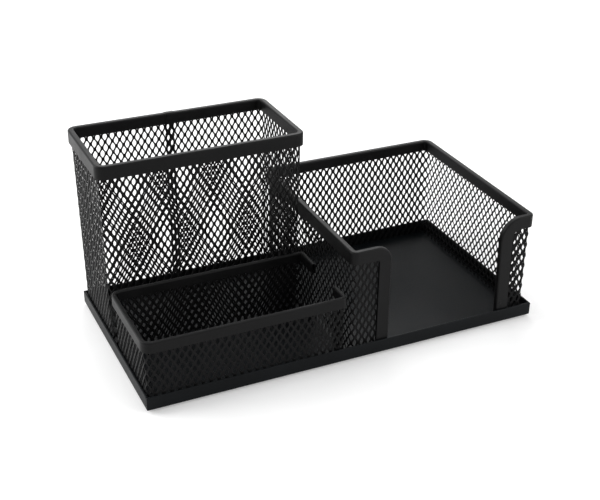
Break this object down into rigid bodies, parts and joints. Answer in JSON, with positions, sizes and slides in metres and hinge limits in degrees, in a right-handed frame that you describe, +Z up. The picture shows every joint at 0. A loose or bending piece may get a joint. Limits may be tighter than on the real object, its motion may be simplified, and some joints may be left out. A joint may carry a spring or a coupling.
{
  "type": "desk organizer",
  "caption": "Black steel mesh desk organizer: tall pen cup, low clip tray and open-front note holder on a shallow base pan.",
  "frame": {"origin": "middle of the base pan's footprint, on the surface that the feet stand on", "axes": "+X to the right along the front edge, with the note holder on the right; +Y from the front to the back; +Z up"},
  "size_m": [0.2065, 0.1047, 0.0987],
  "materials": {
    "pan_coat": "satin black powder coat on sheet steel",
    "mesh_coat": "satin black powder coat on expanded steel mesh",
    "channel_coat": "satin black powder coat on folded steel strip",
    "foot_rubber": "matt black foam rubber"
  },
  "bodies": {
    "root": {"base_pan": "pan_coat", "pen_cup_mesh": "mesh_coat", "pen_cup_rim": "channel_coat", "tray_mesh": "mesh_coat", "tray_rim": "channel_coat", "note_holder_mesh": "mesh_coat", "note_holder_rim": "channel_coat", "foot_front_left": "foot_rubber", "foot_front_right": "foot_rubber", "foot_rear_left": "foot_rubber", "foot_rear_right": "foot_rubber"}
  },
  "joints": []
}
